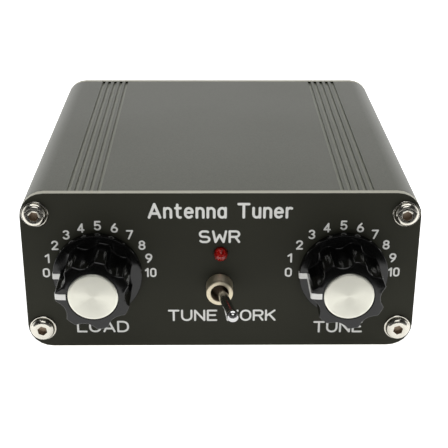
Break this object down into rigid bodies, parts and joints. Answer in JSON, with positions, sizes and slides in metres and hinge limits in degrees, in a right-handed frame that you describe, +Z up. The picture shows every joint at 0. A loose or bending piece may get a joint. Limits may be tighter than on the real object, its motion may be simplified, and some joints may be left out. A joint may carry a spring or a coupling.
{
  "type": "antenna tuner",
  "caption": "Small manual antenna tuner in an extruded aluminium case, with fluted knobs, a toggle switch and a signal lamp in front, and coaxial sockets and binding posts behind.",
  "frame": {"origin": "centre of the flat underside of the case", "axes": "+X right seen from the front, +Y to the rear, +Z up"},
  "size_m": [0.088, 0.1217, 0.038],
  "materials": {
    "anodised_aluminium": "blasted and anodised, dark olive grey",
    "black_panel_board": "black solder mask over glass-epoxy, satin",
    "stainless_steel": "machined",
    "nickel_plate": "bright nickel",
    "black_phenolic": "moulded, glossy",
    "spun_aluminium": "spun with fine rings",
    "brass": "machined",
    "plate_aluminium": "rolled sheet",
    "cream_plastic": "moulded",
    "clear_plastic": "clear moulded",
    "black_plastic": "moulded, satin",
    "red_epoxy": "cast, tinted",
    "green_board": "solder mask",
    "iron_powder": "painted pressed core",
    "enamelled_copper": "enamelled wire",
    "white_fluoroplastic": "turned",
    "gold_plate": "gold flash",
    "red_plastic": "moulded"
  },
  "bodies": {
    "case": {"top_shell": "anodised_aluminium", "bottom_shell": "anodised_aluminium", "front_panel": "black_panel_board", "rear_panel": "black_panel_board", "front_screw_bottom_left": "stainless_steel", "front_screw_bottom_right": "stainless_steel", "front_screw_top_left": "stainless_steel", "front_screw_top_right": "stainless_steel", "rear_screw_bottom_left": "stainless_steel", "rear_screw_bottom_right": "stainless_steel", "rear_screw_top_left": "stainless_steel", "rear_screw_top_right": "stainless_steel", "main_board": "green_board", "load_stator": "plate_aluminium", "load_capacitor_base": "cream_plastic", "load_capacitor_cover": "clear_plastic", "tune_stator": "plate_aluminium", "tune_capacitor_base": "cream_plastic", "tune_capacitor_cover": "clear_plastic", "switch_bushing": "nickel_plate", "switch_frame": "stainless_steel", "switch_base": "red_plastic", "lamp_lens": "red_epoxy", "inductor_core": "iron_powder", "inductor_winding": "enamelled_copper", "radio_socket_housing": "black_plastic", "radio_socket_barrel": "nickel_plate", "radio_socket_insulator": "white_fluoroplastic", "radio_socket_contact": "gold_plate", "radio_socket_nut": "nickel_plate", "antenna_socket_housing": "black_plastic", "antenna_socket_barrel": "nickel_plate", "antenna_socket_insulator": "white_fluoroplastic", "antenna_socket_contact": "gold_plate", "antenna_socket_nut": "nickel_plate", "red_post_base": "red_plastic", "red_post_stud": "nickel_plate", "red_post_nut": "nickel_plate", "black_post_base": "black_phenolic", "black_post_stud": "nickel_plate", "black_post_nut": "nickel_plate"},
    "load_control": {"load_knob": "black_phenolic", "load_knob_disc": "spun_aluminium", "load_knob_insert": "brass", "load_set_screw": "stainless_steel", "load_shaft": "brass", "load_rotor": "plate_aluminium"},
    "tune_control": {"tune_knob": "black_phenolic", "tune_knob_disc": "spun_aluminium", "tune_knob_insert": "brass", "tune_set_screw": "stainless_steel", "tune_shaft": "brass", "tune_rotor": "plate_aluminium"},
    "lever": {"switch_lever": "nickel_plate"},
    "rocker": {"switch_rocker": "brass"},
    "red_cap_travel": {"red_post_insert": "brass"},
    "red_cap": {"red_post_cap": "red_plastic"},
    "black_cap_travel": {"black_post_insert": "brass"},
    "black_cap": {"black_post_cap": "black_phenolic"}
  },
  "joints": [
    {"name": "load_turn", "type": "hinge", "parent": "case", "child": "load_control", "pos_m": [-0.0274, -0.0436, 0.019], "axis": [0, 1, 0], "range_deg": [0, 180]},
    {"name": "tune_turn", "type": "hinge", "parent": "case", "child": "tune_control", "pos_m": [0.0274, -0.0436, 0.019], "axis": [0, 1, 0], "range_deg": [0, 180]},
    {"name": "switch_throw", "type": "hinge", "parent": "case", "child": "lever", "pos_m": [-0.00025, -0.0451, 0.0154], "axis": [0, 0, -1], "range_deg": [0, 25]},
    {"name": "rocker_tilt", "type": "hinge", "parent": "case", "child": "rocker", "pos_m": [-0.00025, -0.0359, 0.0154], "axis": [0, 0, -1], "range_deg": [-16, 0]},
    {"name": "red_cap_slide", "type": "slide", "parent": "case", "child": "red_cap_travel", "axis": [0, 1, 0], "range_m": [0, 0.0035]},
    {"name": "red_cap_turn", "type": "hinge", "parent": "red_cap_travel", "child": "red_cap", "pos_m": [-0.0095, 0.0436, 0.019], "axis": [0, 1, 0], "range_deg": [0, 1800]},
    {"name": "black_cap_slide", "type": "slide", "parent": "case", "child": "black_cap_travel", "axis": [0, 1, 0], "range_m": [0, 0.0035]},
    {"name": "black_cap_turn", "type": "hinge", "parent": "black_cap_travel", "child": "black_cap", "pos_m": [0.0095, 0.0436, 0.019], "axis": [0, 1, 0], "range_deg": [0, 1800]}
  ],
  "couplings": [
    {"joint": "rocker_tilt", "follows": "switch_throw", "ratio": -0.64},
    {"joint": "red_cap_turn", "follows": "red_cap_slide", "rad_per_m": 8976},
    {"joint": "black_cap_turn", "follows": "black_cap_slide", "rad_per_m": 8976}
  ]
}
